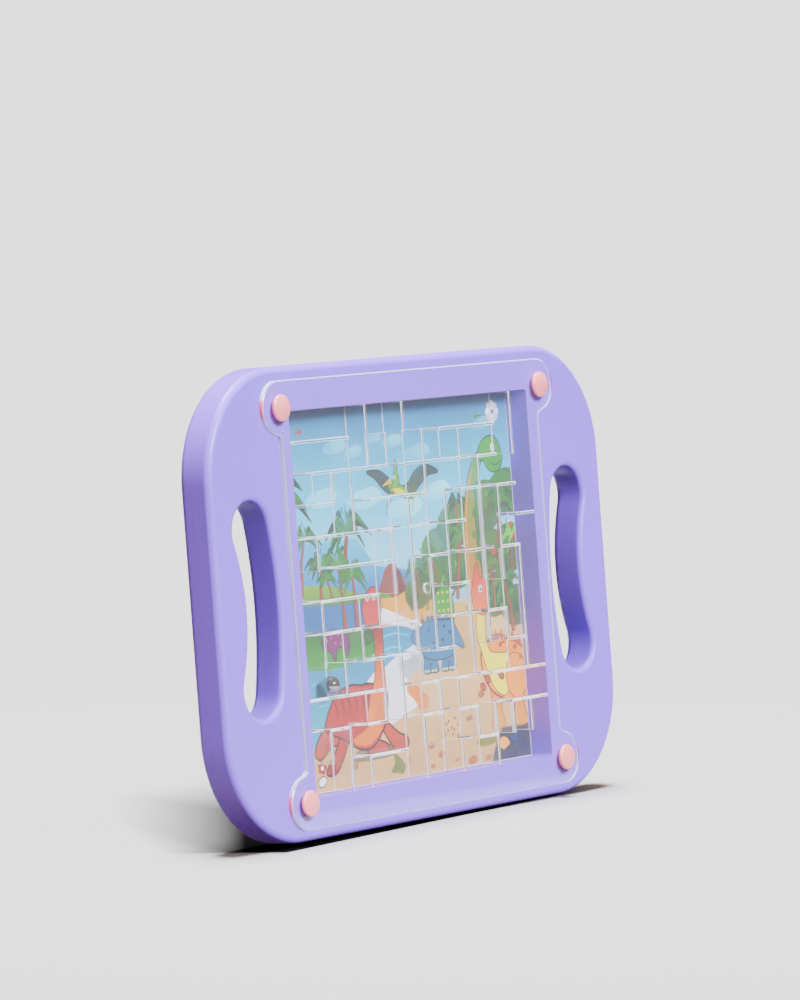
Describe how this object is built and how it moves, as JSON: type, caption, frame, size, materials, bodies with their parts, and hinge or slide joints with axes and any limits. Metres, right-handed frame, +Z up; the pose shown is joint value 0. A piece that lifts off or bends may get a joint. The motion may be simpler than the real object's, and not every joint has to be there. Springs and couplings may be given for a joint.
{
  "type": "tilt maze game",
  "caption": "Hand-held tilt maze board with two grip openings, a riveted clear cover with moulded maze walls, a printed card and a loose steel ball.",
  "frame": {"origin": "middle of the base of the bounding box, where the lower long edge stands", "axes": "+X to the right seen from the maze side, -Y out of the maze side, +Z up along the short side of the board"},
  "size_m": [0.2988, 0.0218, 0.206],
  "materials": {
    "body": "satin lavender moulding",
    "cover": "clear polished moulding",
    "card": "printed board, blue and sand",
    "rivet": "satin pink",
    "screw": "zinc plated",
    "ball": "polished bearing ball"
  },
  "bodies": {
    "board": {"front_shell": "body", "back_shell": "body", "printed_card": "card", "cover_plate": "cover", "maze_walls_upper_left": "cover", "maze_walls_centre": "cover", "maze_walls_right": "cover", "maze_walls_lower_right": "cover", "maze_walls_ball_shelf": "cover", "maze_walls_lower_left": "cover", "maze_walls_bottom_left": "cover", "maze_walls_bottom_right": "cover", "maze_wall_top_left": "cover", "maze_wall_top_centre": "cover", "maze_wall_top_right": "cover", "maze_wall_right_stub": "cover", "maze_wall_bottom_stub": "cover", "push_rivet_top_left": "rivet", "push_rivet_top_right": "rivet", "push_rivet_bottom_right": "rivet", "push_rivet_bottom_left": "rivet", "back_screw_top_left": "screw", "back_screw_top_middle": "screw", "back_screw_top_right": "screw", "back_screw_bottom_left": "screw", "back_screw_bottom_middle": "screw", "back_screw_bottom_right": "screw"},
    "ball": {"steel_ball": "ball"}
  },
  "joints": [
    {"name": "ball_roll", "type": "slide", "parent": "board", "child": "ball", "axis": [1, 0, 0], "range_m": [-0.0186, 0]}
  ]
}
